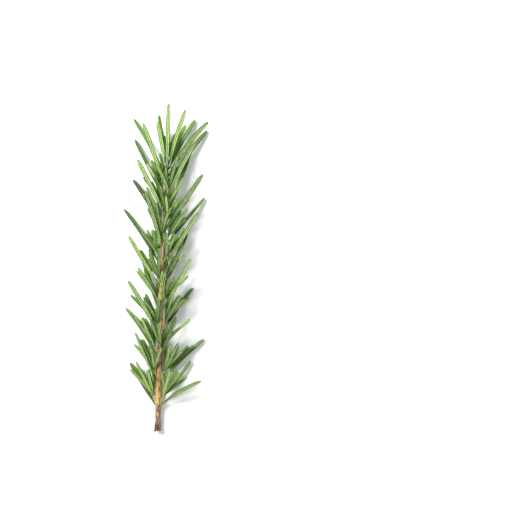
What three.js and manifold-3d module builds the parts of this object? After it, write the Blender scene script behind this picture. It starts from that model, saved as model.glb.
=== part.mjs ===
// A cut sprig of rosemary, lying on a surface: +X right, +Y from the cut end to the growing tip, +Z up.
// Millimetres, and angles in degrees. The origin is under the middle of the sprig, on the surface.
import * as THREE from "three";
import { mergeVertices } from "three/addons/utils/BufferGeometryUtils.js";
import Module from "manifold-3d";

// The woody stem: it lies on its cut end and rises to where the leaves carry it. It is thinner at a neck
// below its first leaves, and frayed wider at the cut. The boxes stand for it where leaves look for room.
const stem = {
  length: 178.4, radius: 2, tipRadius: 0.85, taper: 1.5, knot: 0.08, knotWidth: 1.8,
  flare: 0.2, flareWidth: 1.5, neck: 0.13, neckAt: 9, neckWidth: 5, rise: 7, riseBy: 0.72,
  lean: 7.2, sway: 0.7, sides: 8, steps: 40, cutEnd: { x: -6.2, y: -108.2 }, boxes: 18, boxShare: 0.95,
};
// The places of the leaf pairs: the stretches between them shorten towards the tip.
const pairs = { count: 16, withShoots: 12, first: 18, stretch: 16.5, shrink: 0.93, power: 1.69 };
// The long leaves, in crossed pairs: each pair slants the other way from the last, and the slant sways slowly
// along the stem. A spread is how far a leaf may stray from the rule.
const leaf = {
  length: 35, gain: 9, lengthSpread: 0.1, width: 3.1, widthSpread: 0.08, thickness: 1.15,
  openLow: 32, openHigh: 28, openSpread: 7, bend: 0.09, bendSpread: 0.25, level: 0.66, levelSpread: 0.3,
  turn: 41, turnSpread: 13, sway: 9, swayStep: 0.9, highest: 30, clear: 0.65, rollBy: 0.34,
  sides: 6, stations: [0, 0.1, 0.28, 0.56, 0.84, 1],
};
// The last pairs are shorter and stand closer to the stem.
const young = {
  shorter: 0.34, shorterFrom: 12.5, shorterOver: 2.5, closer: 15, closerFrom: 12, closerOver: 3,
};
// The leaves that stand out from the rule, by pair and side.
const standOut = {
  "0 0": { turn: 22, open: 50, bend: 0.3, length: 34 },
  "0 1": { open: 30, bend: 0.1, length: 32 },
  "5 0": { turn: 150, open: 37, bend: -0.06, length: 40 },
  "8 0": { turn: 34, open: 40, bend: -0.04, length: 45 },
  "12 0": { turn: 28, open: 27, bend: 0.42, length: 46 },
  "13 0": { turn: 97, open: 5, bend: 0.04, length: 43 },
  "14 0": { turn: 40, open: 13, bend: 0.24, length: 38 },
};
// A leaf's outline, as shares of its length and greatest width.
const outline = { foot: 0.45, footBy: 0.24, taper: 0.1, endFrom: 0.86, endLength: 0.155 };
// The short shoots in the leaf axils. A value with "Last" belongs to the last pair that has shoots.
const shoot = {
  above: 3.7, lean: 0.48, raise: 10, length: 4.6, lengthLast: 3.2, radius: 0.75, radiusLast: 0.64, taper: 0.3,
  clear: 1.05, sides: 4, leaves: 8, leavesLast: 4.6, leavesFade: 1.6, leafLength: 27, leafLengthLast: 21,
  leafWidth: 2.5, open: 24, seed: 40, seedStep: 16, facings: [160, 20, 120, 60, 195, -15, 92, 145],
};
// The growing tip, with young leaves in a spiral.
const tip = {
  clear: 0.35, length: 3.6, radius: 0.72, leaves: 10, leafLength: 19, leafWidth: 1.8, open: 21, seed: 900,
  facings: Array.from({ length: 10 }, (_, j) => 137.5 * j),
};
// The small leaves of a shoot, two by two up its axis: the upper ones are shorter and stand closer to it.
const smallLeaf = {
  lowest: 0.25, upBy: 0.6, firstShare: 0.6, lengthLow: 1.05, lengthHigh: 0.63, lengthSpread: 0.16,
  widthSpread: 0.1, thickness: 1.05, openLow: 1.25, openHigh: 0.65, openSpread: 5, leastOpen: 3,
  bend: 0.1, bendSpread: 0.3, level: 0.6, levelSpread: 0.3, facingSpread: 12, sides: 4,
  stations: [0, 0.22, 0.6, 1], tidyBy: 0.14,
};
// What a leaf may try, nearest first, to clear its neighbours.
const tries = {
  shorter: [1, 0.8, 0.6, 0.45], lift: [0, -5, 5, -10, 10, 16, -15],
  turn: [0, 8, -8, 16, -16, 26, -26, 38, -38, 52, -52, 68, -68],
};
// The rows of scattered numbers that leaves draw from.
const draw = { length: 3, width: 5, open: 7, bend: 9, level: 11, turn: 13, small: 20 };
const gap = 0.15; // free space kept between the boxes round neighbouring leaves
const stretches = [0, 0.07, 0.18, 0.36, 0.6, 0.8, 1]; // where those boxes meet along a leaf
const freeFoot = 4; // boxes of a small leaf that may touch its own shoot's other leaves
const halvings = 24; // steps of the search for a leaf's resting place
const parallel = 1e-6; // squared length under which two edges count as parallel
const colours = { bark: 0x9a7a55, leaf: 0x5f7d40, shoot: 0x7c9a4e, young: 0x9dbb55 };

const rad = THREE.MathUtils.degToRad;
const mix = THREE.MathUtils.lerp;
const vector = (x, y, z) => new THREE.Vector3(x, y, z);
const smooth = (x) => THREE.MathUtils.smoothstep(x, 0, 1);

// A repeatable number from -1 to 1 for two whole numbers.
function scatter(a, b) {
  const n = Math.sin(a * 12.9898 + b * 78.233) * 43758.5453;
  return 2 * (n - Math.floor(n)) - 1;
}

const stations = [pairs.first];
for (let i = 0; i < pairs.count - 1; i++) {
  const shortened = 1 - pairs.shrink * (i / (pairs.count - 2)) ** pairs.power;
  stations.push(stations[i] + pairs.stretch * shortened);
}

// The middle of the stem at a distance from the cut end.
function stemCentre(along) {
  const u = along / stem.length;
  return vector(
    stem.cutEnd.x + stem.lean * u - stem.sway * Math.sin(Math.PI * u),
    stem.cutEnd.y + along,
    stem.radius * (1 + stem.flare) + stem.rise * smooth(u / stem.riseBy),
  );
}

// A swelling that is 1 at its middle and fades within about twice its width.
const bell = (x, width) => Math.exp(-((x / width) ** 2));

// The stem thins towards the tip and below its first leaves, and swells at each pair and at the cut.
function stemRadius(along) {
  const plain = mix(stem.radius, stem.tipRadius, Math.max(along / stem.length, 0) ** stem.taper);
  const knots = Math.max(...stations.map((s) => bell(along - s, stem.knotWidth)));
  const neck = stem.neck * bell(along - stem.neckAt, stem.neckWidth);
  return plain * (1 + stem.knot * knots - neck + stem.flare * bell(along, stem.flareWidth));
}

// Three directions at a place on the stem: along it, to its side and upwards.
function stemFrame(along) {
  const forward = stemCentre(along + 0.5).sub(stemCentre(along - 0.5)).normalize();
  const side = forward.clone().cross(vector(0, 0, 1)).normalize();
  return { forward, side, up: side.clone().cross(forward) };
}

// The direction that stands off an axis at an angle round it.
function around(frame, degrees) {
  const turn = rad(degrees);
  return frame.side.clone().multiplyScalar(Math.cos(turn)).addScaledVector(frame.up, Math.sin(turn));
}

// A leaf's width, as a share of its greatest: a narrow foot, nearly parallel edges and a blunt end.
function widthShare(t) {
  const foot = mix(outline.foot, 1, smooth(t / outline.footBy));
  const end = Math.max(t - outline.endFrom, 0) / outline.endLength;
  return foot * (1 - outline.taper * t) * Math.sqrt(Math.max(1 - end ** 2, 0));
}

// A leaf's middle line is an arc in the plane of its axis and its outward direction. Its flat side rolls,
// over the first third of its length, part of the way towards the surface that the sprig lies on.
function leafFrame(made, t) {
  const start = rad(made.open);
  const angle = start + made.bend * t;
  const along = (made.length * (Math.sin(angle) - Math.sin(start))) / made.bend;
  const out = (made.length * (Math.cos(start) - Math.cos(angle))) / made.bend;
  const centre = made.foot.clone().addScaledVector(made.axis, along).addScaledVector(made.outward, out);
  const forward = made.axis.clone().multiplyScalar(Math.cos(angle));
  forward.addScaledVector(made.outward, Math.sin(angle));
  const across = made.axis.clone().cross(made.outward);
  const face = forward.clone().cross(across);
  const roll = made.roll * smooth(t / leaf.rollBy);
  const width = across.clone().multiplyScalar(Math.cos(roll)).addScaledVector(face, Math.sin(roll));
  return { centre, forward, width, normal: forward.clone().cross(width) };
}

// The roll that lays a leaf's flat side level, with its upper or under side up, whichever is nearer.
function levelRoll(made) {
  const angle = rad(made.open) + made.bend / 2;
  const across = made.axis.clone().cross(made.outward);
  const faceUp = made.axis.z * Math.sin(angle) - made.outward.z * Math.cos(angle);
  return faceUp < 0 ? Math.atan2(across.z, -faceUp) : Math.atan2(-across.z, faceUp);
}

function makeLeaf(foot, axis, outward, size) {
  const made = { foot, axis, outward, ...size };
  return { ...made, roll: size.level * levelRoll(made) };
}

// A leaf as a chain of boxes, short ones near its foot, where the leaves crowd.
function boxesOf(made) {
  const frames = stretches.map((t) => leafFrame(made, t));
  return frames.slice(1).map((end, k) => {
    const start = frames[k];
    const share = Math.max(widthShare(stretches[k]), widthShare(stretches[k + 1]));
    const step = end.centre.clone().sub(start.centre);
    const forward = step.clone().normalize();
    const width = start.width.clone().add(end.width);
    width.addScaledVector(forward, -width.dot(forward)).normalize();
    const half = [(made.width * share) / 2, made.thickness / 2, step.length() / 2];
    const centre = start.centre.clone().addScaledVector(step, 0.5);
    return { centre, axes: [width, forward.clone().cross(width), forward], half, reach: Math.hypot(...half) };
  });
}

// A straight round stretch, such as a length of stem, as one box.
function rodBox(start, end, radius) {
  const step = end.clone().sub(start);
  const forward = step.clone().normalize();
  const side = forward.clone().cross(vector(0, 0, 1)).normalize();
  const half = [radius, radius, step.length() / 2];
  const centre = start.clone().addScaledVector(step, 0.5);
  return { centre, axes: [side, forward.clone().cross(side), forward], half, reach: Math.hypot(...half) };
}

const extent = (box, n) => box.axes.reduce((sum, a, k) => sum + box.half[k] * Math.abs(a.dot(n)), 0);

// Two boxes stand apart if some face or edge direction shows the gap between them.
function apart(p, q) {
  const d = q.centre.clone().sub(p.centre);
  if (d.length() > p.reach + q.reach + gap) return true;
  const edges = p.axes.flatMap((a) => q.axes.map((b) => a.clone().cross(b)));
  const directions = [...p.axes, ...q.axes, ...edges].filter((n) => n.lengthSq() > parallel);
  return directions.some((n) => Math.abs(d.dot(n)) > extent(p, n) + extent(q, n) + gap * n.length());
}

const lowest = (boxes) => Math.min(...boxes.map((box) => box.centre.z - extent(box, vector(0, 0, 1))));
const clearOf = (boxes, others) => boxes.every((p) => others.every((q) => apart(p, q)));

// A leaf that would hang below the surface is turned up round the stem until it lies on it.
function restOnSurface(build, turn) {
  if (lowest(boxesOf(build(turn))) >= 0) return turn;
  let low = turn;
  let high = turn > 90 ? 180 - leaf.highest : leaf.highest;
  for (let k = 0; k < halvings; k++) {
    const middle = (low + high) / 2;
    if (lowest(boxesOf(build(middle))) >= 0) high = middle;
    else low = middle;
  }
  return high;
}

// Small changes of length, lean and turn are tried, nearest first, until a leaf clears its neighbours.
function findRoom(build, standing, siblings) {
  for (const shorter of tries.shorter)
    for (const lift of tries.lift)
      for (const turn of tries.turn) {
        const made = build(turn, lift, shorter);
        const boxes = boxesOf(made);
        const free = clearOf(boxes, standing) && clearOf(boxes.slice(freeFoot), siblings);
        if (free && lowest(boxes) >= 0) return made;
      }
  return null;
}

// The long leaves, a pair at each place.
const longLeaves = [];
for (let i = 0; i < pairs.count; i++) {
  const u = i / (pairs.count - 1);
  const frame = stemFrame(stations[i]);
  const usual = leaf.length + leaf.gain * Math.sin(2 * u);
  const shorter = 1 - young.shorter * smooth((i - young.shorterFrom) / young.shorterOver);
  const closer = young.closer * smooth((i - young.closerFrom) / young.closerOver);
  for (const side of [0, 1]) {
    const stray = (row, spread) => spread * scatter(i, row + side);
    const size = {
      length: usual * shorter * (1 + stray(draw.length, leaf.lengthSpread)),
      width: leaf.width * (1 + stray(draw.width, leaf.widthSpread)),
      thickness: leaf.thickness,
      open: mix(leaf.openLow, leaf.openHigh, u) - closer + stray(draw.open, leaf.openSpread),
      bend: leaf.bend + stray(draw.bend, leaf.bendSpread),
      level: leaf.level + stray(draw.level, leaf.levelSpread),
      stations: leaf.stations,
      ...standOut[`${i} ${side}`],
    };
    const build = (turn) => {
      const outward = around(frame, turn);
      const foot = stemCentre(stations[i]).addScaledVector(outward, stemRadius(stations[i]) + leaf.clear);
      return makeLeaf(foot, frame.forward, outward, size);
    };
    const slant = (i % 2 ? 180 - leaf.turn : leaf.turn) + leaf.sway * Math.sin(leaf.swayStep * i);
    const wanted = size.turn ?? slant + 180 * side + stray(draw.turn, leaf.turnSpread);
    const turn = restOnSurface(build, THREE.MathUtils.euclideanModulo(wanted + 90, 360) - 90);
    longLeaves.push({ pair: i, turn, made: build(turn), boxes: boxesOf(build(turn)) });
  }
}

// The boxes of everything that has its place already.
const standing = longLeaves.flatMap((l) => l.boxes);
for (let k = 0; k < stem.boxes; k++) {
  const [a, b] = [k, k + 1].map((n) => (stem.length * n) / stem.boxes);
  standing.push(rodBox(stemCentre(a), stemCentre(b), stem.boxShare * stemRadius((a + b) / 2)));
}

// The small leaves of a shoot, placed one after another round its short axis.
function growShoot(base, frame, wanted) {
  const end = base.clone().addScaledVector(frame.forward, wanted.length);
  const leaves = [];
  const grown = [];
  for (let j = 0; j < wanted.leaves; j++) {
    const height = Math.min((Math.floor(j / 2) + smallLeaf.firstShare) / (wanted.leaves / 2), 1);
    const up = wanted.length * (smallLeaf.lowest + smallLeaf.upBy * height);
    const foot = base.clone().addScaledVector(frame.forward, up);
    const stray = (row, spread) => spread * scatter(wanted.seed + j, row + draw.small);
    const facing = wanted.facings[j] + stray(draw.turn, smallLeaf.facingSpread);
    const length = wanted.leafLength * mix(smallLeaf.lengthLow, smallLeaf.lengthHigh, height);
    const open = wanted.open * mix(smallLeaf.openLow, smallLeaf.openHigh, height);
    const build = (turn, lift, shorter) => {
      const size = {
        length: length * (1 + stray(draw.length, smallLeaf.lengthSpread)) * shorter,
        width: wanted.leafWidth * (1 + stray(draw.width, smallLeaf.widthSpread)) * Math.sqrt(shorter),
        thickness: smallLeaf.thickness,
        open: Math.max(open + stray(draw.open, smallLeaf.openSpread) + lift, smallLeaf.leastOpen),
        bend: smallLeaf.bend + stray(draw.bend, smallLeaf.bendSpread),
        level: smallLeaf.level + stray(draw.level, smallLeaf.levelSpread),
        stations: smallLeaf.stations,
      };
      return makeLeaf(foot, frame.forward, around(frame, facing + turn), size);
    };
    const made = findRoom(build, standing, grown);
    if (!made) continue;
    leaves.push(made);
    grown.push(...boxesOf(made).slice(freeFoot));
  }
  standing.push(rodBox(base, end, wanted.radius), ...leaves.flatMap(boxesOf));
  return { base, end, radius: wanted.radius, leaves, forward: frame.forward };
}

const shoots = [];
for (const { pair, turn, made } of longLeaves.slice(0, 2 * pairs.withShoots)) {
  const place = stations[pair] + shoot.above;
  const along = stemFrame(place);
  const outward = around(along, turn + (turn > 90 ? -shoot.raise : shoot.raise));
  const lean = rad(shoot.lean * made.open);
  const forward = along.forward.clone().multiplyScalar(Math.cos(lean));
  forward.addScaledVector(outward, Math.sin(lean));
  const side = along.forward.clone().cross(outward);
  const u = pair / (pairs.withShoots - 1);
  const base = stemCentre(place).addScaledVector(outward, stemRadius(place) + shoot.clear);
  shoots.push(growShoot(base, { forward, side, up: side.clone().cross(forward) }, {
    seed: shoot.seed + shoot.seedStep * shoots.length, length: mix(shoot.length, shoot.lengthLast, u),
    radius: mix(shoot.radius, shoot.radiusLast, u), facings: shoot.facings, open: shoot.open,
    leaves: Math.round(mix(shoot.leaves, shoot.leavesLast, u ** shoot.leavesFade)),
    leafLength: mix(shoot.leafLength, shoot.leafLengthLast, u), leafWidth: shoot.leafWidth,
  }));
}
const tipShoot = growShoot(stemCentre(stem.length + tip.clear), stemFrame(stem.length), tip);

// A closed shape with flat ends, made by reshaping a unit cylinder: place gives the point for a share of the
// length and for a place on the unit circle.
function sweep(sides, steps, place) {
  const shape = new THREE.CylinderGeometry(1, 1, 1, sides, steps);
  const at = shape.attributes.position;
  for (let i = 0; i < at.count; i++) {
    const point = place(at.getY(i) + 0.5, at.getZ(i), at.getX(i));
    at.setXYZ(i, point.x, point.y, point.z);
  }
  shape.deleteAttribute("normal");
  shape.deleteAttribute("uv");
  return mergeVertices(shape, 1e-4);
}

function leafGeometry(made, sides) {
  const steps = made.stations.length - 1;
  return sweep(sides, steps, (t, a, b) => {
    const station = made.stations[Math.round(t * steps)];
    const frame = leafFrame(made, station);
    const share = widthShare(station);
    const point = frame.centre.addScaledVector(frame.width, (a * made.width * share) / 2);
    return point.addScaledVector(frame.normal, (b * made.thickness * Math.sqrt(share)) / 2);
  });
}

// A short axis that thins towards its end.
function axisGeometry(start, end, frame, radius) {
  return sweep(shoot.sides, 1, (t, a, b) => {
    const here = radius * (1 - shoot.taper * t);
    const point = start.clone().lerp(end, t).addScaledVector(frame.up, a * here);
    return point.addScaledVector(frame.side, b * here);
  });
}

const stemGeometry = sweep(stem.sides, stem.steps, (t, a, b) => {
  const along = t * stem.length;
  const frame = stemFrame(along);
  const radius = stemRadius(along);
  return stemCentre(along).addScaledVector(frame.up, a * radius).addScaledVector(frame.side, b * radius);
});

const wasm = await Module();
wasm.setup();

function solidOf(geometry) {
  const vertProperties = Float32Array.from(geometry.attributes.position.array);
  return new wasm.Manifold(new wasm.Mesh({ numProp: 3, vertProperties, triVerts: geometry.index.array }));
}

// A shoot's leaves grow from its axis, so they are joined to it as one body, whose smallest facets are
// merged. Keeping only the outer skin fills the small pockets that crossing leaves close off between them.
function joined(geometries) {
  const whole = geometries.map(solidOf).reduce((sum, next) => sum.add(next));
  const skins = whole.asOriginal().simplify(smallLeaf.tidyBy).decompose();
  const mesh = skins.reduce((a, b) => (a.volume() > b.volume() ? a : b)).getMesh();
  const geometry = new THREE.BufferGeometry();
  geometry.setAttribute("position", new THREE.BufferAttribute(mesh.vertProperties, 3));
  return geometry.setIndex(new THREE.BufferAttribute(mesh.triVerts, 1));
}

function shootGeometry(made) {
  const side = made.forward.clone().cross(vector(0, 0, 1)).normalize();
  const frame = { side, up: side.clone().cross(made.forward) };
  const axis = axisGeometry(made.base, made.end, frame, made.radius);
  return joined([axis, ...made.leaves.map((l) => leafGeometry(l, smallLeaf.sides))]);
}

const group = new THREE.Group();
function add(name, geometry, color, roughness) {
  const mesh = new THREE.Mesh(geometry, new THREE.MeshStandardMaterial({ color, roughness, metalness: 0 }));
  mesh.name = name;
  group.add(mesh);
}

const named = (kind, pair, side) => `${kind}_${String(pair + 1).padStart(2, "0")}_${side}`;
const sideOf = (turn) => (turn > 90 ? "left" : "right");
add("main_stem", stemGeometry, colours.bark, 0.8);
longLeaves.forEach((l, n) => {
  const side = sideOf(l.turn);
  add(named("leaf", l.pair, side), leafGeometry(l.made, leaf.sides), colours.leaf, 0.5);
  if (shoots[n]) add(named("side_shoot", l.pair, side), shootGeometry(shoots[n]), colours.shoot, 0.5);
});
add("tip_shoot", shootGeometry(tipShoot), colours.young, 0.5);

export default group;
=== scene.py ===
import math
import bpy
import numpy as np
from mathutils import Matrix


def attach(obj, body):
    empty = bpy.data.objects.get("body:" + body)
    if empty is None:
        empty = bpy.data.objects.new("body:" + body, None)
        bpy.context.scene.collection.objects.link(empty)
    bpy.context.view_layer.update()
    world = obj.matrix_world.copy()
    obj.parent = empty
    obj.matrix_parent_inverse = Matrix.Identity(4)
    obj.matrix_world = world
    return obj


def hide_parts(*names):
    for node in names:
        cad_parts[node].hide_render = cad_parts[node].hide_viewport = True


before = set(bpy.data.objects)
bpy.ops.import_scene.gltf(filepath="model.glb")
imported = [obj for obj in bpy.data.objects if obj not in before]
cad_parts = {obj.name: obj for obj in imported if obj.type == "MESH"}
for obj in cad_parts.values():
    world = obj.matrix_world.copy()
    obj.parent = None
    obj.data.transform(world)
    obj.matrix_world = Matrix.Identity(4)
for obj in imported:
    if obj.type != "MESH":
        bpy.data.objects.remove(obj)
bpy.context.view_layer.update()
print("frame loaded:", len(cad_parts), "nodes")

mm = 0.001
skyward = np.array([0.0, 0.0, 1.0])


def smooth(x):
    # rises from 0 to 1 with level ends: three times the square less twice the cube
    held = np.clip(x, 0, 1)
    return held * held * (3 - 2 * held)


def mix(a, b, t):
    return (1 - t) * a + t * b


def scatter(a, b):
    # a repeatable number from -1 to 1 for two whole numbers
    n = math.sin(a * 12.9898 + b * 78.233) * 43758.5453
    return 2 * (n - math.floor(n)) - 1


def unit(v):
    return v / np.linalg.norm(v, axis=-1, keepdims=True)


# the sprig grows by the same rules as the model it stands for, in millimetres and degrees: the stem lies on
# its cut end and rises to where the leaves carry it, and leaves look for room beside boxes put round it
stem = {
    "length": 178.4, "radius": 2, "tipRadius": 0.85, "taper": 1.5, "knot": 0.08, "knotWidth": 1.8,
    "flare": 0.2, "flareWidth": 1.5, "neck": 0.13, "neckAt": 9, "neckWidth": 5, "rise": 7, "riseBy": 0.72,
    "lean": 7.2, "sway": 0.7, "cutX": -6.2, "cutY": -108.2, "boxes": 18, "boxShare": 0.95,
}
# the places of the leaf pairs: the stretches between them shorten towards the tip
pairs = {"count": 16, "withShoots": 12, "first": 18, "stretch": 16.5, "shrink": 0.93, "power": 1.69}
stations = [pairs["first"]]
for i in range(pairs["count"] - 1):
    shortened = 1 - pairs["shrink"] * (i / (pairs["count"] - 2)) ** pairs["power"]
    stations.append(stations[i] + pairs["stretch"] * shortened)


def stemCentre(along):
    # a straight line that leans and sways a little, and rises smoothly off the surface
    u = np.asarray(along, float) / stem["length"]
    x = stem["cutX"] + stem["lean"] * u - stem["sway"] * np.sin(np.pi * u)
    z = stem["radius"] * (1 + stem["flare"]) + stem["rise"] * smooth(u / stem["riseBy"])
    return np.stack([x, stem["cutY"] + u * stem["length"], z], axis=-1)


def bell(x, width):
    # 1 in the middle, fading within about twice the width
    return np.exp(-((x / width) ** 2))


def stemRadius(along):
    # thins towards the tip and below the first leaves, and swells by a bell curve at each pair and at the cut
    along = np.asarray(along, float)
    plain = mix(stem["radius"], stem["tipRadius"], np.maximum(along / stem["length"], 0) ** stem["taper"])
    knots = bell(along[..., None] - np.array(stations), stem["knotWidth"]).max(axis=-1)
    neck = stem["neck"] * bell(along - stem["neckAt"], stem["neckWidth"])
    return plain * (1 + stem["knot"] * knots - neck + stem["flare"] * bell(along, stem["flareWidth"]))


def stemFrame(along):
    # along the stem, to its side, and upwards
    along = np.asarray(along, float)
    forward = unit(stemCentre(along + 0.5) - stemCentre(along - 0.5))
    side = unit(np.cross(forward, skyward))
    return forward, side, np.cross(side, forward)


def around(side, up, degrees):
    # the direction that many degrees round from side towards up: the cosine of one plus the sine of the other
    return math.cos(math.radians(degrees)) * side + math.sin(math.radians(degrees)) * up


# a leaf's outline, as shares of its length and greatest width
outline = {"foot": 0.45, "footBy": 0.24, "taper": 0.1, "endFrom": 0.86, "endLength": 0.155}


def widthShare(t):
    # a narrow foot, nearly parallel edges and a blunt end: a foot curve times a taper times a quarter circle
    foot = mix(outline["foot"], 1, smooth(t / outline["footBy"]))
    end = np.maximum(t - outline["endFrom"], 0) / outline["endLength"]
    return foot * (1 - outline["taper"] * t) * np.sqrt(np.maximum(1 - end ** 2, 0))


def leafFrame(leaf, t):
    # the middle line is an arc from the axis outwards: its angle grows evenly with t, along
    # is the integral of the cosine and out of the sine; the flat side rolls smoothly over the first third
    start = math.radians(leaf["open"])
    angle = (start + leaf["bend"] * t)[:, None]
    along = leaf["length"] * (np.sin(angle) - math.sin(start)) / leaf["bend"]
    out = leaf["length"] * (math.cos(start) - np.cos(angle)) / leaf["bend"]
    centre = leaf["foot"] + along * leaf["axis"] + out * leaf["outward"]
    forward = np.cos(angle) * leaf["axis"] + np.sin(angle) * leaf["outward"]
    across = np.cross(leaf["axis"], leaf["outward"])
    face = np.cross(forward, across)
    roll = (leaf["roll"] * smooth(t / longLeaf["rollBy"]))[:, None]
    width = np.cos(roll) * across + np.sin(roll) * face
    return centre, forward, width, np.cross(forward, width)


def makeLeaf(foot, axis, outward, size):
    # the roll takes the leaf's flat side part of the way to level, with the nearer side up
    angle = math.radians(size["open"]) + size["bend"] / 2
    across = np.cross(axis, outward)
    faceUp = axis[2] * math.sin(angle) - outward[2] * math.cos(angle)
    level = math.atan2(across[2], -faceUp) if faceUp < 0 else math.atan2(-across[2], faceUp)
    return {"foot": foot, "axis": axis, "outward": outward, **size, "roll": size["level"] * level}


stretches = np.array([0, 0.07, 0.18, 0.36, 0.6, 0.8, 1])  # where the boxes round a leaf meet


def boxesOf(leaf):
    # a leaf as a chain of boxes: middle, three directions, half sizes
    centre, _, width, _ = leafFrame(leaf, stretches)
    share = widthShare(stretches)
    step = centre[1:] - centre[:-1]
    length = np.linalg.norm(step, axis=1)
    chord = step / length[:, None]
    wide = width[:-1] + width[1:]
    wide = unit(wide - chord * np.sum(wide * chord, axis=1, keepdims=True))
    half = np.stack([leaf["width"] * np.maximum(share[:-1], share[1:]) / 2,
                     np.full(len(length), leaf["thickness"] / 2), length / 2], axis=1)
    return centre[:-1] + step / 2, np.stack([wide, np.cross(chord, wide), chord], axis=1), half


def rodBox(start, end, radius):
    # a stretch of round stem as one square box from start to end
    step = end - start
    forward = unit(step)
    side = unit(np.cross(forward, skyward))
    axes = np.stack([side, np.cross(forward, side), forward])
    return (start + step / 2)[None], axes[None], np.array([[radius, radius, np.linalg.norm(step) / 2]])


def joinBoxes(groups):
    # several sets of boxes as one
    return tuple(np.concatenate([g[k] for g in groups]) for k in range(3))


freeFoot = 4  # boxes of a small leaf that may touch its own shoot's other leaves


def fromFourth(boxes):
    return tuple(b[freeFoot:] for b in boxes)


def lowest(boxes):
    # the lowest corner: the middle's height less each half size times how upright its direction is
    return np.min(boxes[0][:, 2] - np.sum(boxes[2] * np.abs(boxes[1][:, :, 2]), axis=1))


gap = 0.15  # free space kept between the boxes round neighbouring leaves


def clearOf(some, others):
    # boxes stand apart if some face or edge direction shows the gap between them
    if others is None:
        return True
    d = others[0][None] - some[0][:, None]
    reach = np.linalg.norm(some[2], axis=1)[:, None] + np.linalg.norm(others[2], axis=1)[None] + gap
    i, j = np.nonzero(np.linalg.norm(d, axis=2) <= reach)
    if not len(i):
        return True
    p, q, d = some[1][i], others[1][j], d[i, j]
    edges = np.cross(p[:, :, None], q[:, None, :]).reshape(len(i), 9, 3)
    n = np.concatenate([p, q, edges], axis=1)
    room = np.abs(np.einsum("kc,kac->ka", d, n)) - gap * np.linalg.norm(n, axis=2)
    room -= np.einsum("kb,kab->ka", some[2][i], np.abs(np.einsum("kac,kbc->kab", n, p)))
    room -= np.einsum("kb,kab->ka", others[2][j], np.abs(np.einsum("kac,kbc->kab", n, q)))
    usable = np.sum(n * n, axis=2) > 1e-6
    return bool(np.all(np.any((room > 0) & usable, axis=1)))


halvings = 24  # steps of the search for a leaf's resting place


def restOnSurface(build, turn):
    # a leaf that would hang below the surface is turned up round the stem until it lies on it
    if lowest(boxesOf(build(turn))) >= 0:
        return turn
    low, high = turn, (180 - longLeaf["highest"] if turn > 90 else longLeaf["highest"])
    for _ in range(halvings):
        middle = (low + high) / 2
        if lowest(boxesOf(build(middle))) >= 0:
            high = middle
        else:
            low = middle
    return high


# what a leaf may try, nearest first, to clear its neighbours
tries = {
    "shorter": [1, 0.8, 0.6, 0.45], "lift": [0, -5, 5, -10, 10, 16, -15],
    "turn": [0, 8, -8, 16, -16, 26, -26, 38, -38, 52, -52, 68, -68],
}


def findRoom(build, standing, siblings):
    # the first try that is above the surface and clear of everything standing, if there is one
    for shorter in tries["shorter"]:
        for lift in tries["lift"]:
            for turn in tries["turn"]:
                leaf = build(turn, lift, shorter)
                boxes = boxesOf(leaf)
                if lowest(boxes) >= 0 and clearOf(boxes, standing) and clearOf(fromFourth(boxes), siblings):
                    return leaf
    return None


# the rows of scattered numbers that leaves draw from
draw = {
    "length": 3, "width": 5, "open": 7, "bend": 9, "level": 11, "turn": 13, "small": 20, "tone": 41,
    "heartLength": 33, "heartOpen": 35,
}

# how young a leaf looks, from 0 to 1: the last pairs are young, and the lowest ones have yellowed
youth = {
    "from": 9, "over": 6, "lowest": 0.5, "lowestPairs": 2, "shoot": 0.15, "shootGain": 0.35,
    "shootLowest": 0.3, "shootTop": 0.25,
}

# the long leaves, in crossed pairs: each pair slants the other way from the last, and the slant sways slowly
# along the stem; a spread is how far a leaf may stray from the rule
longLeaf = {
    "length": 35, "gain": 9, "lengthSpread": 0.1, "width": 3.1, "widthSpread": 0.08, "thickness": 1.15,
    "openLow": 32, "openHigh": 28, "openSpread": 7, "bend": 0.09, "bendSpread": 0.25, "level": 0.66,
    "levelSpread": 0.3, "turn": 41, "turnSpread": 13, "sway": 9, "swayStep": 0.9, "highest": 30,
    "clear": 0.65, "rollBy": 0.34, "reach": 1.15,
}
# the last pairs are shorter and stand closer to the stem
youngPairs = {
    "shorter": 0.34, "shorterFrom": 12.5, "shorterOver": 2.5, "closer": 15, "closerFrom": 12, "closerOver": 3,
}
# the leaves that stand out from the rule, by pair and side
standOut = {
    (0, 0): {"turn": 22, "open": 50, "bend": 0.3, "length": 34},
    (0, 1): {"open": 30, "bend": 0.1, "length": 32},
    (5, 0): {"turn": 150, "open": 37, "bend": -0.06, "length": 40},
    (8, 0): {"turn": 34, "open": 40, "bend": -0.04, "length": 45},
    (12, 0): {"turn": 28, "open": 27, "bend": 0.42, "length": 46},
    (13, 0): {"turn": 97, "open": 5, "bend": 0.04, "length": 43},
    (14, 0): {"turn": 40, "open": 13, "bend": 0.24, "length": 38},
}

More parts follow.
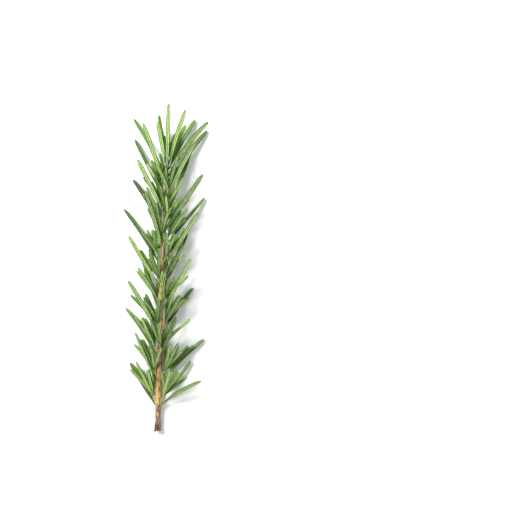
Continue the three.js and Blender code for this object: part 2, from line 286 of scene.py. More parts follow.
longLeaves = []
for i in range(pairs["count"]):
    u = i / (pairs["count"] - 1)
    forward, side, up = stemFrame(stations[i])
    shorter = 1 - youngPairs["shorter"] * smooth((i - youngPairs["shorterFrom"]) / youngPairs["shorterOver"])
    closer = youngPairs["closer"] * smooth((i - youngPairs["closerFrom"]) / youngPairs["closerOver"])
    age = smooth((i - youth["from"]) / youth["over"]) + youth["lowest"] * smooth(1 - i / youth["lowestPairs"])
    for k in [0, 1]:
        def stray(row, spread):
            return longLeaf[spread] * scatter(i, draw[row] + k)

        plain = longLeaf["length"] + longLeaf["gain"] * math.sin(2 * u)
        size = {
            "length": plain * shorter * (1 + stray("length", "lengthSpread")),
            "width": longLeaf["width"] * (1 + stray("width", "widthSpread")),
            "thickness": longLeaf["thickness"],
            "open": mix(longLeaf["openLow"], longLeaf["openHigh"], u) - closer + stray("open", "openSpread"),
            "bend": longLeaf["bend"] + stray("bend", "bendSpread"),
            "level": longLeaf["level"] + stray("level", "levelSpread"),
            "seed": 2 * i + k, "age": age, **standOut.get((i, k), {}),
        }

        def build(turn):
            outward = around(side, up, turn)
            foot = stemCentre(stations[i]) + outward * (stemRadius(stations[i]) + longLeaf["clear"])
            return makeLeaf(foot, forward, outward, size)

        slant = 180 - longLeaf["turn"] if i % 2 else longLeaf["turn"]
        slant += longLeaf["sway"] * math.sin(longLeaf["swayStep"] * i) + 180 * k
        wanted = size.get("turn", slant + stray("turn", "turnSpread"))
        turn = restOnSurface(build, (wanted + 90) % 360 - 90)
        longLeaves.append({"pair": i, "turn": turn, "leaf": build(turn)})

# the boxes of everything that has its place already
cuts = np.linspace(0, stem["length"], stem["boxes"] + 1)
standing = joinBoxes([boxesOf(l["leaf"]) for l in longLeaves] + [
    rodBox(stemCentre(a), stemCentre(b), stem["boxShare"] * stemRadius((a + b) / 2))
    for a, b in zip(cuts, cuts[1:])])

# the small leaves of a shoot: Low and High belong to the foot and the end of its axis
smallLeaf = {
    "lowest": 0.25, "upBy": 0.6, "firstShare": 0.6, "lengthLow": 1.05, "lengthHigh": 0.63,
    "lengthSpread": 0.16, "widthSpread": 0.1, "thickness": 1.05, "openLow": 1.25, "openHigh": 0.65,
    "openSpread": 5, "leastOpen": 3, "bend": 0.1, "bendSpread": 0.3, "level": 0.6, "levelSpread": 0.3,
    "facingSpread": 12, "reach": 0.5,
}


def growShoot(base, forward, side, up, want):
    # small leaves placed one after another round a short axis, two by two
    global standing
    end = base + forward * want["length"]
    leaves, grown = [], None
    for j in range(want["leaves"]):
        def stray(row, spread):
            return smallLeaf[spread] * scatter(want["seed"] + j, draw[row] + draw["small"])

        height = min((math.floor(j / 2) + smallLeaf["firstShare"]) / (want["leaves"] / 2), 1)
        foot = base + forward * (want["length"] * (smallLeaf["lowest"] + smallLeaf["upBy"] * height))
        facing = want["facings"][j] + stray("turn", "facingSpread")
        length = want["leafLength"] * mix(smallLeaf["lengthLow"], smallLeaf["lengthHigh"], height)
        opening = want["open"] * mix(smallLeaf["openLow"], smallLeaf["openHigh"], height)

        def build(turn, lift, shorter):
            size = {
                "length": length * (1 + stray("length", "lengthSpread")) * shorter,
                "width": want["leafWidth"] * (1 + stray("width", "widthSpread")) * math.sqrt(shorter),
                "thickness": smallLeaf["thickness"],
                "open": max(opening + stray("open", "openSpread") + lift, smallLeaf["leastOpen"]),
                "bend": smallLeaf["bend"] + stray("bend", "bendSpread"),
                "level": smallLeaf["level"] + stray("level", "levelSpread"),
                "seed": want["seed"] + j, "age": want["age"] + youth["shootTop"] * height,
            }
            return makeLeaf(foot, forward, around(side, up, facing + turn), size)

        leaf = findRoom(build, standing, grown)
        if leaf is None:
            continue
        leaves.append(leaf)
        grown = joinBoxes([g for g in [grown, fromFourth(boxesOf(leaf))] if g is not None])
    standing = joinBoxes([standing, rodBox(base, end, want["radius"])] + [boxesOf(l) for l in leaves])
    return {**want, "base": base, "end": end, "leaves": leaves, "frame": (forward, side, up)}


# the short shoots above the long leaves: a value with Last belongs to the last pair that has shoots
shoot = {
    "above": 3.7, "lean": 0.48, "raise": 10, "length": 4.6, "lengthLast": 3.2, "radius": 0.75,
    "radiusLast": 0.64, "clear": 1.05, "leaves": 8, "leavesLast": 4.6, "leavesFade": 1.6, "leafLength": 27,
    "leafLengthLast": 21, "leafWidth": 2.5, "open": 24, "seed": 40, "seedStep": 16,
    "facings": [160, 20, 120, 60, 195, -15, 92, 145], "hearts": 4, "green": 0.5,
}

shoots = []
for l in longLeaves[:2 * pairs["withShoots"]]:
    place = stations[l["pair"]] + shoot["above"]
    forward, side, up = stemFrame(place)
    outward = around(side, up, l["turn"] + (-shoot["raise"] if l["turn"] > 90 else shoot["raise"]))
    lean = math.radians(shoot["lean"] * l["leaf"]["open"])
    axis = forward * math.cos(lean) + outward * math.sin(lean)
    across = np.cross(forward, outward)
    u = l["pair"] / (pairs["withShoots"] - 1)
    age = youth["shoot"] + youth["shootGain"] * u
    age += youth["shootLowest"] * smooth(1 - l["pair"] / youth["lowestPairs"])
    base = stemCentre(place) + outward * (stemRadius(place) + shoot["clear"])
    shoots.append(growShoot(base, axis, across, np.cross(across, axis), {
        **shoot, "seed": shoot["seed"] + shoot["seedStep"] * len(shoots),
        "length": mix(shoot["length"], shoot["lengthLast"], u),
        "radius": mix(shoot["radius"], shoot["radiusLast"], u),
        "leaves": math.floor(mix(shoot["leaves"], shoot["leavesLast"], u ** shoot["leavesFade"]) + 0.5),
        "leafLength": mix(shoot["leafLength"], shoot["leafLengthLast"], u),
        "age": age, "outward": outward, "along": forward,
    }))

# the growing tip, with young leaves in a spiral
tip = {
    "clear": 0.35, "length": 3.6, "radius": 0.72, "leaves": 10, "leafLength": 19, "leafWidth": 1.8,
    "open": 21, "seed": 900, "facings": [137.5 * j for j in range(10)], "hearts": 6, "green": 0.8,
    "age": 0.7, "sunk": 0.5,
}

tipShoot = growShoot(stemCentre(stem["length"] + tip["clear"]), *stemFrame(stem["length"]), tip)
print("leaves placed:", len(longLeaves), "long,", [len(s["leaves"]) for s in shoots], "on shoots,",
      len(tipShoot["leaves"]), "at the tip")


def toLinear(hexColour):
    # an sRGB hex value as linear light: a straight line near black, and the power 2.4 above it
    channels = [int(hexColour[k:k + 2], 16) / 255 for k in (1, 3, 5)]
    return (*[c / 12.92 if c <= 0.04045 else ((c + 0.055) / 1.055) ** 2.4 for c in channels], 1.0)


def skin(rings, first, last):
    # rings of points one behind another, closed by one point at each end; every face looks outwards
    count, sides = rings.shape[:2]
    index = 1 + np.arange(count * sides).reshape(count, sides)
    ahead = np.roll(index, -1, axis=1)
    quads = np.stack([index[:-1], ahead[:-1], ahead[1:], index[1:]], axis=-1).reshape(-1, 4)
    foot = np.stack([np.zeros(sides, int), ahead[0], index[0]], axis=-1)
    head = np.stack([index[-1], ahead[-1], np.full(sides, 1 + count * sides)], axis=-1)
    points = np.concatenate([first[None], rings.reshape(-1, 3), last[None]])
    return points, quads, np.concatenate([foot, head])


def addPiece(name, node, parts, materials, levels):
    # a part holds points in mm, four-sided and three-sided faces, its material's number, and marks that the
    # material reads
    points = np.concatenate([p["points"] for p in parts]) * mm
    faces, numbers, start = [], [], 0
    for p in parts:
        faces += (p["quads"] + start).tolist() + (p["fans"] + start).tolist()
        numbers += [p["material"]] * (len(p["quads"]) + len(p["fans"]))
        start += len(p["points"])
    mesh = bpy.data.meshes.new(name)
    mesh.from_pydata(points.tolist(), [], faces)
    for material in materials:
        mesh.materials.append(material)
    mesh.polygons.foreach_set("material_index", numbers)
    mesh.polygons.foreach_set("use_smooth", [True] * len(faces))
    for key in parts[0]["marks"]:
        layer = mesh.attributes.new(key, "FLOAT_VECTOR", "POINT")
        layer.data.foreach_set("vector", np.concatenate([p["marks"][key] for p in parts]).ravel())
    mesh.update()
    piece = bpy.data.objects.new(name, mesh)
    bpy.context.scene.collection.objects.link(piece)
    if levels:
        rounding = piece.modifiers.new("rounding", "SUBSURF")
        rounding.levels = rounding.render_levels = levels
    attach(piece, "root")
    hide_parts(node)


# a leaf's section in shares of its half width and half thickness: a grooved top whose margins roll under to a
# felted channel on each side of the midrib; then how much of each point is felt, rib and margin
leafSection = {
    "across": np.array([1.08, 0.62, 0.0, -0.62, -1.08, -0.8, -0.42, 0.0, 0.42, 0.8]),
    "face": np.array([-0.1, 1.1, 0.35, 1.1, -0.1, -1.2, -0.25, -0.95, -0.25, -1.2]),
    "paint": np.array([
        [0, 0, 1.0], [0, 0, 0.2], [0, 1.0, 0], [0, 0, 0.2], [0, 0, 1.0],
        [0.1, 0, 1.0], [1.0, 0, 0], [0, 1.0, 0], [1.0, 0, 0], [0.1, 0, 1.0]]),
    "stations": np.array([0, 0.1, 0.28, 0.52, 0.78, 0.93]),
    "footWidth": 0.9, "footThickness": 1.4, "footBack": 1.2, "toneBy": 0.36, "paintedShadeByFacing": 0.14,
}


def leafPart(leaf, reach):
    # the section carried along the leaf's arc and scaled by its outline: a point is the middle, plus across
    # times half the width, plus face times half the thickness; it begins reach under the foot, in the stem
    t = leafSection["stations"]
    centre, _, width, normal = leafFrame(leaf, t)
    share = widthShare(t)
    wide, thick = leaf["width"] * share / 2, leaf["thickness"] * np.sqrt(share) / 2
    foot = leaf["foot"] - reach * (leaf["outward"] + leafSection["footBack"] * leaf["axis"])
    centre = np.concatenate([foot[None], centre])
    width, normal = np.concatenate([width[:1], width]), np.concatenate([normal[:1], normal])
    wide = np.append(leafSection["footWidth"] * wide[0], wide)
    thick = np.append(leafSection["footThickness"] * thick[0], thick)
    rings = centre[:, None] + (wide[:, None] * leafSection["across"])[..., None] * width[:, None]
    rings = rings + (thick[:, None] * leafSection["face"])[..., None] * normal[:, None]
    points, quads, fans = skin(rings, foot, leafFrame(leaf, np.array([1.0]))[0][0])
    paint = leafSection["paint"]
    end = paint.mean(axis=0, keepdims=True)
    # the tone: a random share for each leaf, plus painted shade by how far it faces up or down
    tone = 0.5 + leafSection["toneBy"] * scatter(leaf["seed"], draw["tone"])
    tone += leafSection["paintedShadeByFacing"] * leaf["outward"][2]  # painted shade: leaves facing up are made lighter and leaves facing down darker, as if lit from above
    along = np.concatenate([[0], np.repeat(np.append(0, t), len(paint)), [1]])
    kind = np.stack([np.full(len(points), tone), np.full(len(points), min(leaf["age"], 1)), along], axis=-1)
    paint = np.concatenate([end, np.tile(paint, (len(rings), 1)), end])
    return {"points": points, "quads": quads, "fans": fans, "material": 0,
            "marks": {"leafPaint": paint, "leafKind": kind}}


# a shoot's axis: its thickness from root to bud, and how deep and far back in the stem it starts, in mm
shootAxis = {
    "sides": 6, "sizes": np.array([1.35, 1.15, 1.0, 0.9, 0.6]), "bendAt": 0.6, "reach": 0.4, "back": 2.6,
    "tone": 0.5,
}


def axisPart(root, start, end, radius, age):
    # a circle carried along a short bent way: out of the stem at the root, then straight to a round bud
    way = np.stack([root, mix(root, start, shootAxis["bendAt"]), start, mix(start, end, 0.5), end])
    forward = unit(np.gradient(way, axis=0))
    side = unit(np.cross(forward, skyward))
    up = np.cross(side, forward)
    turns = np.linspace(0, 2 * np.pi, shootAxis["sides"], endpoint=False)
    ring = np.cos(turns)[None, :, None] * up[:, None] + np.sin(turns)[None, :, None] * side[:, None]
    rings = way[:, None] + (radius * shootAxis["sizes"])[:, None, None] * ring
    points, quads, fans = skin(rings, root, end + forward[-1] * radius)
    kind = np.tile([shootAxis["tone"], age, 0.5], (len(points), 1))
    return {"points": points, "quads": quads, "fans": fans, "material": 1,
            "marks": {"leafPaint": np.zeros((len(points), 3)), "leafKind": kind}}


# the stem's surface: how deep its bark is fissured, how far the cut is frayed sideways and along, how square
# the young stem is, and the rings that close the cut; waves as size, period or count, and phase; fissures,
# cracks and lumps are counts round the stem, and periods are in mm along it
stemSurface = {
    "around": 40, "steps": 420, "ridge": 0.09, "frayed": 0.11, "splinter": 0.55, "frayedOver": 1.8,
    "square": 0.06, "rings": [0.12, 0.3, 0.6, 0.84, 0.93], "wander": [(0.9, 7.3, 0), (0.6, 3.1, 2)],
    "fissures": 3, "weave": 0.5, "weavePeriod": 2.3, "cracks": 5, "crackShare": 0.6, "crackWander": 1.3,
    "crackPeriod": 9, "middle": 0.9, "lumps": 2, "lumpHeight": 0.5, "lumpPeriod": 1.9, "lumpSpread": 4.7,
    "oldFrom": 0.1, "oldOver": 0.7, "youngRidge": 0.25, "end": 0.5, "splinterTurn": 5,
    "fray": [(0.5, 2, 1.3), (0.4, 3, 4.0), (0.35, 5, 0.4), (0.3, 7, 2.6), (0.25, 11, 2.1)],
}


def stemPart():
    # a circle carried along the stem's line: the radius is the stem's own, times 1 plus fissures and finer
    # cracks (sines of the turn that wander along, with sharp lows), plus lumps, plus fray (a sum of uneven
    # sines, at the cut only), plus the four soft corners of the young stem
    look = stemSurface
    along = np.linspace(0, stem["length"], look["steps"])[:, None]
    turn = np.linspace(0, 2 * np.pi, look["around"], endpoint=False)[None]
    u = along / stem["length"]
    old = 1 - smooth((u - look["oldFrom"]) / look["oldOver"])
    wander = sum(size * np.sin(along / period + phase) for size, period, phase in look["wander"])
    weave = look["weave"] * np.sin(along / look["weavePeriod"] + turn)
    fissures = np.abs(np.sin(look["fissures"] * turn + wander + weave))
    cracks = look["cracks"] * turn - look["crackWander"] * wander + along / look["crackPeriod"]
    fissures = fissures + look["crackShare"] * np.abs(np.sin(cracks)) - look["middle"]
    lumps = look["lumpHeight"] * np.sin(along / look["lumpPeriod"] + look["lumps"] * turn)
    lumps = lumps * np.sin(along / look["lumpSpread"] + turn)
    fray = sum(size * np.sin(count * turn + phase) for size, count, phase in look["fray"])
    fray = fray * bell(along, look["frayedOver"])
    ridge = look["ridge"] * mix(look["youngRidge"], 1, old)
    relief = ridge * (fissures + lumps) + look["frayed"] * fray
    relief = relief + look["square"] * (1 - old) * np.cos(4 * turn)
    radius = stemRadius(along[:, 0])[:, None] * (1 + relief)
    forward, side, up = stemFrame(along[:, 0])
    ring = np.cos(turn)[..., None] * up[:, None] + np.sin(turn)[..., None] * side[:, None]
    rings = stemCentre(along[:, 0])[:, None] + radius[..., None] * ring
    splinters = look["splinter"] * np.roll(fray, look["splinterTurn"], axis=1)
    rings = rings + splinters[..., None] * forward[:, None]
    middle = stemCentre(0.0)
    shares = np.array(look["rings"])
    cut = mix(middle, rings[0][None], shares[:, None, None])
    last = stemCentre(stem["length"]) + forward[-1] * look["end"]
    points, quads, fans = skin(np.concatenate([cut, rings]), middle, last)
    # the place along the stem from 0 to 1, and on the cut the share of its radius below 0
    place = np.concatenate([[0], np.repeat(np.append(-shares, u), look["around"]), [1]])
    marks = np.outer(place, [1, 0, 0])
    return {"points": points, "quads": quads, "fans": fans, "material": 0, "marks": {"stemPlace": marks}}


def addNode(tree, kind, settings, inputs):
    # settings go by property name; an input takes a plain value or another node's output
    node = tree.nodes.new(kind)
    for key, value in settings.items():
        setattr(node, key, value)
    for key, value in inputs.items():
        if isinstance(value, bpy.types.NodeSocket):
            tree.links.new(value, node.inputs[key])
        else:
            node.inputs[key].default_value = value
    return node


def newMaterial(name):
    material = bpy.data.materials.new(name)
    material.use_nodes = True
    material.node_tree.nodes.clear()
    return material, material.node_tree


def setRamp(node, colours):
    # colours by their place from 0 to 1, the first and the last given first
    elements = node.color_ramp.elements
    for n, (position, colour) in enumerate(colours):
        spot = elements[n] if n < 2 else elements.new(position)
        spot.position, spot.color = position, toLinear(colour)
    return node.outputs[0]


mixColours = {"data_type": "RGBA"}
multiply = {"operation": "MULTIPLY", "use_clamp": True}
multiplyAdd = {"operation": "MULTIPLY_ADD", "use_clamp": True}


def leafMaterial(name, look):
    # rosemary leaf: a waxed, finely pebbled skin that shines softly, and pale felt between the rolled margins
    # that stays matt, so that the two sides read apart in any light
    material, tree = newMaterial(name)
    place = addNode(tree, "ShaderNodeTexCoord", {}, {}).outputs["Object"]
    paint = addNode(tree, "ShaderNodeAttribute", {"attribute_name": "leafPaint"}, {}).outputs["Vector"]
    felt, rib, margin = addNode(tree, "ShaderNodeSeparateXYZ", {}, {0: paint}).outputs
    kind = addNode(tree, "ShaderNodeAttribute", {"attribute_name": "leafKind"}, {}).outputs["Vector"]
    tone, age, along = addNode(tree, "ShaderNodeSeparateXYZ", {}, {0: kind}).outputs
    cloud, fleck, grain = [
        addNode(tree, "ShaderNodeTexNoise", {}, {0: place, "Scale": 1 / (size * mm), "Detail": 2}).outputs[0]
        for size in [look["cloud"], look["fleck"], look["grain"]]]
    # the green of the leaf: its own tone, which carries painted shade (darker on leaves facing down), with a
    # cloud over it, yellower when young and pale at the foot
    toneWithPaintedShade = addNode(tree, "ShaderNodeMath", multiplyAdd, {0: cloud, 1: 0.8, 2: -0.3}).outputs[0]
    toneWithPaintedShade = addNode(tree, "ShaderNodeMath", multiplyAdd, {0: tone, 1: 0.85, 2: toneWithPaintedShade}).outputs[0]
    body = setRamp(addNode(tree, "ShaderNodeValToRGB", {}, {0: toneWithPaintedShade}),
                   [(0.18, look["dark"]), (0.88, look["light"]), (0.5, look["middle"])])
    share = addNode(tree, "ShaderNodeMath", multiply, {0: age, 1: look["youth"]}).outputs[0]
    body = addNode(tree, "ShaderNodeMix", mixColours,
                   {0: share, 6: body, 7: toLinear(look["young"])}).outputs[2]
    share = addNode(tree, "ShaderNodeMapRange", {},
                    {0: along, 1: 0, 2: look["footBy"], 3: look["footShown"], 4: 0}).outputs[0]
    body = addNode(tree, "ShaderNodeMix", mixColours,
                   {0: share, 6: body, 7: toLinear(look["foot"])}).outputs[2]
    # darker margins, a green midrib, pale felt in the channels that wears thin in flecks, and a dry brown tip
    share = addNode(tree, "ShaderNodeMath", multiply, {0: margin, 1: look["marginShown"]}).outputs[0]
    body = addNode(tree, "ShaderNodeMix", {**mixColours, "blend_type": "MULTIPLY"},
                   {0: share, 6: body, 7: toLinear(look["margin"])}).outputs[2]
    share = addNode(tree, "ShaderNodeMath", multiply, {0: rib, 1: look["ribShown"]}).outputs[0]
    body = addNode(tree, "ShaderNodeMix", mixColours,
                   {0: share, 6: body, 7: toLinear(look["rib"])}).outputs[2]
    worn = addNode(tree, "ShaderNodeMapRange", {},
                   {0: fleck, 1: 0.36, 2: 0.6, 3: look["wornFelt"], 4: look["fullFelt"]}).outputs[0]
    # the felt shows less on leaves of lower tone; since the tone carries painted shade, leaves facing down
    # show less felt and look darker
    thin = addNode(tree, "ShaderNodeMapRange", {}, {0: tone, 1: 0.2, 2: 0.8, 3: 0.5, 4: 1.0}).outputs[0]
    edge = addNode(tree, "ShaderNodeMapRange", {}, {0: felt, 1: 0.35, 2: 0.8}).outputs[0]
    felted = addNode(tree, "ShaderNodeMath", multiply, {0: edge, 1: worn}).outputs[0]
    felted = addNode(tree, "ShaderNodeMath", multiply, {0: felted, 1: thin}).outputs[0]
    body = addNode(tree, "ShaderNodeMix", mixColours,
                   {0: felted, 6: body, 7: toLinear(look["felt"])}).outputs[2]
    share = addNode(tree, "ShaderNodeMapRange", {},
                    {0: along, 1: look["dryFrom"], 2: 1, 3: 0, 4: look["dry"]}).outputs[0]
    body = addNode(tree, "ShaderNodeMix", mixColours,
                   {0: share, 6: body, 7: toLinear(look["tip"])}).outputs[2]
    share = addNode(tree, "ShaderNodeMapRange", {}, {0: grain, 1: 0.3, 2: 0.46, 3: look["speck"], 4: 0.0})
    body = addNode(tree, "ShaderNodeMix", mixColours,
                   {0: share.outputs[0], 6: body, 7: toLinear(look["dark"])}).outputs[2]
    rough = addNode(tree, "ShaderNodeMapRange", {}, {0: felted, 3: look["gloss"], 4: look["matt"]}).outputs[0]
    height = addNode(tree, "ShaderNodeMath", multiplyAdd, {0: grain, 1: 0.5, 2: fleck}).outputs[0]
    bump = addNode(tree, "ShaderNodeBump", {}, {"Distance": look["relief"] * mm, "Height": height}).outputs[0]
    shader = addNode(tree, "ShaderNodeBsdfPrincipled", {}, {
        "IOR": 1.45, "Specular IOR Level": look["shine"], "Base Color": body, "Roughness": rough,
        "Normal": bump})
    addNode(tree, "ShaderNodeOutputMaterial", {}, {"Surface": shader.outputs[0]})
    return material


# sizes in mm: clouds of tone over a leaf, flecks in the felt (really 0.3) and the pebbled grain (really 0.1),
# both drawn coarser so that they show, and the relief's depth; youth, dry, speck and what is Shown or Felt
# are shares of a colour, footBy and dryFrom are shares of the leaf's length, and gloss and matt are the
# roughness of the wax and of the felt
longLook = {
    "dark": "#1b3315", "middle": "#426628", "light": "#86ad4c", "young": "#86ad40", "youth": 0.75,
    "foot": "#8a9c52", "rib": "#668c3e", "ribShown": 0.8, "margin": "#6c9657", "marginShown": 0.9,
    "felt": "#cbda96", "wornFelt": 0.42, "fullFelt": 0.95, "footBy": 0.22, "footShown": 0.75,
    "tip": "#7c6a38", "dry": 0.55, "dryFrom": 0.94, "gloss": 0.42, "matt": 0.9, "shine": 0.5, "speck": 0.55,
    "cloud": 6, "fleck": 1.2, "grain": 0.6, "relief": 0.18,
}
shootLook = {**longLook, "dark": "#203c18", "middle": "#4c7630", "light": "#90b654"}
youngLook = {**longLook, "dark": "#375f20", "middle": "#639336", "light": "#98c153", "young": "#8aba48",
             "felt": "#bcd288", "cloud": 4}
greenStemLook = {**longLook, "dark": "#6f7c40", "middle": "#8f964f", "light": "#b0ac6c", "young": "#9a9c58",
                 "cloud": 2}
longLeafSkin = leafMaterial("rosemary leaf, grown and waxed", longLook)
shootLeafSkin = leafMaterial("rosemary shoot leaf, grown and waxed", shootLook)
youngLeafSkin = leafMaterial("rosemary young leaf, grown soft", youngLook)
greenStemSkin = leafMaterial("rosemary green stem, grown soft", greenStemLook)

# sizes in mm: streaks across the stem (really 0.2, drawn coarser to show) and patches along it; colours by
# their share of the stem's length, and on the cut by their share of its radius, from pale pith to dark bark
barkLook = {
    "streak": 0.55, "stretch": 0.16, "patch": 6, "relief": 0.3, "fissure": "#6e5540", "flake": "#c4a98c",
    "along": [(0.0, "#4a2c1b"), (1.0, "#8ca653"), (0.025, "#73503a"), (0.05, "#a98f78"), (0.085, "#a78a6c"),
              (0.11, "#dab872"), (0.19, "#d3a962"), (0.25, "#ab865e"), (0.33, "#8f7152"), (0.39, "#e0c784"),
              (0.52, "#cbae6d"), (0.62, "#a98f62"), (0.74, "#cfa99a"), (0.86, "#b9a27a"), (0.95, "#9cb060")],
    "cut": [(0.0, "#cbb489"), (1.0, "#5f452c"), (0.12, "#e0d0a8"), (0.3, "#e6d9b4"), (0.62, "#d9c596"),
            (0.84, "#c2a66f"), (0.9, "#5c4229")],
}


def barkMaterial(name, look):
    # rosemary stem: dry fissured brown bark at the cut, split down to tan wood further up, then smooth young
    # skin; it gives the eye long dull streaks with dark bottoms and pale flakes
    material, tree = newMaterial(name)
    place = addNode(tree, "ShaderNodeTexCoord", {}, {}).outputs["Object"]
    marks = addNode(tree, "ShaderNodeAttribute", {"attribute_name": "stemPlace"}, {}).outputs["Vector"]
    along = addNode(tree, "ShaderNodeSeparateXYZ", {}, {0: marks}).outputs[0]
    drawn = addNode(tree, "ShaderNodeMapping", {}, {0: place, "Scale": (1, look["stretch"], 1)}).outputs[0]
    streak = addNode(tree, "ShaderNodeTexNoise", {},
                     {0: drawn, "Scale": 1 / (look["streak"] * mm), "Detail": 4.0}).outputs[0]
    patch = addNode(tree, "ShaderNodeTexNoise", {},
                    {0: place, "Scale": 1 / (look["patch"] * mm), "Detail": 1.0}).outputs[0]
    # the colours along the stem, pushed to and fro by patches and streaks so that they end raggedly
    moved = addNode(tree, "ShaderNodeMath", {"operation": "MULTIPLY_ADD"},
                    {0: patch, 1: 0.07, 2: along}).outputs[0]
    moved = addNode(tree, "ShaderNodeMath", {"operation": "MULTIPLY_ADD"},
                    {0: streak, 1: 0.09, 2: moved}).outputs[0]
    moved = addNode(tree, "ShaderNodeMath", {"operation": "SUBTRACT"}, {0: moved, 1: 0.08}).outputs[0]
    skinColour = setRamp(addNode(tree, "ShaderNodeValToRGB", {}, {0: moved}), look["along"])
    dark = addNode(tree, "ShaderNodeMix", {**mixColours, "blend_type": "MULTIPLY"},
                   {0: 1.0, 6: skinColour, 7: toLinear(look["fissure"])}).outputs[2]
    share = addNode(tree, "ShaderNodeMapRange", {}, {0: streak, 1: 0.32, 2: 0.62, 3: 0.0, 4: 1.0}).outputs[0]
    body = addNode(tree, "ShaderNodeMix", mixColours, {0: share, 6: dark, 7: skinColour}).outputs[2]
    flaked = addNode(tree, "ShaderNodeMapRange", {}, {0: streak, 1: 0.56, 2: 0.66, 3: 0, 4: 0.75}).outputs[0]
    barked = addNode(tree, "ShaderNodeMapRange", {}, {0: along, 1: 0.09, 2: 0.14, 3: 1.0, 4: 0.0}).outputs[0]
    share = addNode(tree, "ShaderNodeMath", multiply, {0: flaked, 1: barked}).outputs[0]
    body = addNode(tree, "ShaderNodeMix", mixColours,
                   {0: share, 6: body, 7: toLinear(look["flake"])}).outputs[2]
    across = addNode(tree, "ShaderNodeMath", multiply, {0: along, 1: -1.0}).outputs[0]
    cutColour = setRamp(addNode(tree, "ShaderNodeValToRGB", {}, {0: across}), look["cut"])
    onCut = addNode(tree, "ShaderNodeMath", {"operation": "LESS_THAN"}, {0: along, 1: -0.02}).outputs[0]
    body = addNode(tree, "ShaderNodeMix", mixColours, {0: onCut, 6: body, 7: cutColour}).outputs[2]
    bump = addNode(tree, "ShaderNodeBump", {},
                   {"Strength": 0.8, "Distance": look["relief"] * mm, "Height": streak}).outputs[0]
    shader = addNode(tree, "ShaderNodeBsdfPrincipled", {}, {
        "Roughness": 0.75, "IOR": 1.5, "Specular IOR Level": 0.35, "Base Color": body, "Normal": bump})
    addNode(tree, "ShaderNodeOutputMaterial", {}, {"Surface": shader.outputs[0]})
    return material


bark = barkMaterial("rosemary bark, grown and fissured", barkLook)
print("materials made")

# the unopened leaves in the heart of each shoot, each shorter than the last and turned by the same angle
heartLeaf = {
    "length": 7.5, "lengthSpread": 0.2, "shorter": 0.87, "width": 1.2, "thickness": 0.7, "open": 16,
    "openSpread": 5, "bend": -0.2, "level": 0, "apart": 100, "from": 30, "age": 0.9, "out": 0.4, "sunk": 0.3,
    "reach": 0.3, "seedFrom": 50,
}


def shootParts(s, root):
    # a shoot's axis, its leaves, and the small unopened ones in its heart
    forward, side, up = s["frame"]
    parts = [leafPart(leaf, smallLeaf["reach"]) for leaf in s["leaves"]]
    parts.append(axisPart(root, s["base"], s["end"], s["radius"], s["green"]))
    for k in range(s["hearts"]):
        seed = s["seed"] + heartLeaf["seedFrom"] + k
        size = {
            **heartLeaf, "seed": seed,
            "open": heartLeaf["open"] + heartLeaf["openSpread"] * scatter(seed, draw["heartOpen"]),
            "length": heartLeaf["length"] * heartLeaf["shorter"] ** k
            * (1 + heartLeaf["lengthSpread"] * scatter(seed, draw["heartLength"])),
        }
        outward = around(side, up, heartLeaf["from"] + heartLeaf["apart"] * k)
        foot = s["end"] + s["radius"] * (heartLeaf["out"] * outward - heartLeaf["sunk"] * forward)
        parts.append(leafPart(makeLeaf(foot, forward, outward, size), heartLeaf["reach"]))
    return parts


addPiece("mainStem", "main_stem", [stemPart()], [bark], 0)
for n, l in enumerate(longLeaves):
    side = "left" if l["turn"] > 90 else "right"
    number = f"{l['pair'] + 1:02d}"
    addPiece(f"leaf{number}{side.capitalize()}", f"leaf_{number}_{side}",
             [leafPart(l["leaf"], longLeaf["reach"])], [longLeafSkin], 2)
    if n < len(shoots):
        s = shoots[n]
        root = s["base"] - (shoot["clear"] + shootAxis["reach"]) * s["outward"]
        root = root - shootAxis["back"] * s["along"]
        addPiece(f"sideShoot{number}{side.capitalize()}", f"side_shoot_{number}_{side}",
                 shootParts(s, root), [shootLeafSkin, greenStemSkin], 1)
root = stemCentre(stem["length"] - tip["sunk"])
addPiece("tipShoot", "tip_shoot", shootParts(tipShoot, root), [youngLeafSkin, greenStemSkin], 2)
print("pieces made")

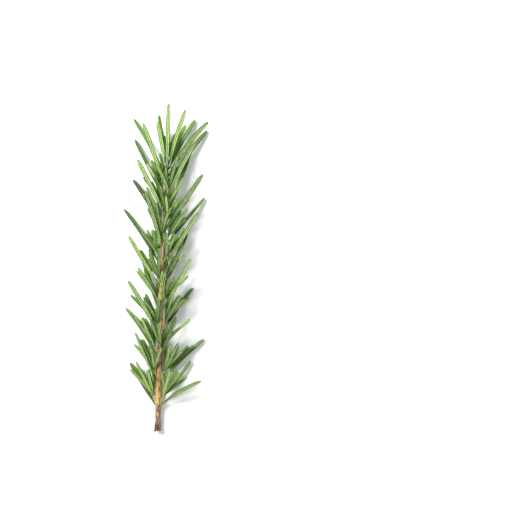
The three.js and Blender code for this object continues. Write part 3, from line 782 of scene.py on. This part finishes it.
# the camera looks straight down; lengths in mm, the floor a little under the sprig
shot = {
    "lens": 85, "sensor": 36, "viewHeight": 353.8, "aimX": 63.7, "aimY": 0.9, "nearest": 10,
    "farthest": 20000,
}
ground = {"size": 4000, "under": 0.2, "tone": "#eef0ee"}
h, z = ground["size"] / 2 * mm, -ground["under"] * mm
floorMesh = bpy.data.meshes.new("floor")
floorMesh.from_pydata([(-h, -h, z), (h, -h, z), (h, h, z), (-h, h, z)], [], [(0, 1, 2, 3)])
floor = bpy.data.objects.new("floor", floorMesh)
bpy.context.scene.collection.objects.link(floor)
floorMaterial, floorTree = newMaterial("pale paper, pressed smooth")
floorShader = addNode(floorTree, "ShaderNodeBsdfPrincipled", {},
                      {"Base Color": toLinear(ground["tone"]), "Roughness": 0.9})
addNode(floorTree, "ShaderNodeOutputMaterial", {}, {"Surface": floorShader.outputs[0]})
floorMesh.materials.append(floorMaterial)


def addLight(name, size, power, position):
    # a square soft light that looks at the origin: it tips by its angle from overhead and turns to face it;
    # size and position in metres, power in watts
    light = bpy.data.lights.new(name, "AREA")
    light.shape, light.size, light.energy = "SQUARE", size, power
    lamp = bpy.data.objects.new(name, light)
    bpy.context.scene.collection.objects.link(lamp)
    x, y, height = position
    lamp.location = position
    lamp.rotation_euler = (math.atan2(math.hypot(x, y), height), 0, math.atan2(-y, -x) - math.pi / 2)


lights = {
    "keyLight": {"size": 0.4, "power": 17.0, "position": (-0.6, 0.45, 0.75)},
    "fillLight": {"size": 0.9, "power": 2.0, "position": (0.8, -0.3, 0.9)},
}
skyLook = {"tone": "#ffffff", "strength": 0.62}
for name, light in lights.items():
    addLight(name, **light)
world = bpy.data.worlds.new("studio")
bpy.context.scene.world = world
world.use_nodes = True
world.node_tree.nodes["Background"].inputs["Color"].default_value = toLinear(skyLook["tone"])
world.node_tree.nodes["Background"].inputs["Strength"].default_value = skyLook["strength"]
bpy.context.scene.view_settings.view_transform = "Standard"

lens = bpy.data.cameras.new("camera")
lens.lens, lens.sensor_width = shot["lens"], shot["sensor"]
lens.clip_start, lens.clip_end = shot["nearest"] * mm, shot["farthest"] * mm
camera = bpy.data.objects.new("camera", lens)
bpy.context.scene.collection.objects.link(camera)
distance = shot["viewHeight"] * shot["lens"] / shot["sensor"]
camera.location = (shot["aimX"] * mm, shot["aimY"] * mm, distance * mm)
bpy.context.scene.camera = camera
print("stage set")

bpy.context.view_layer.update()
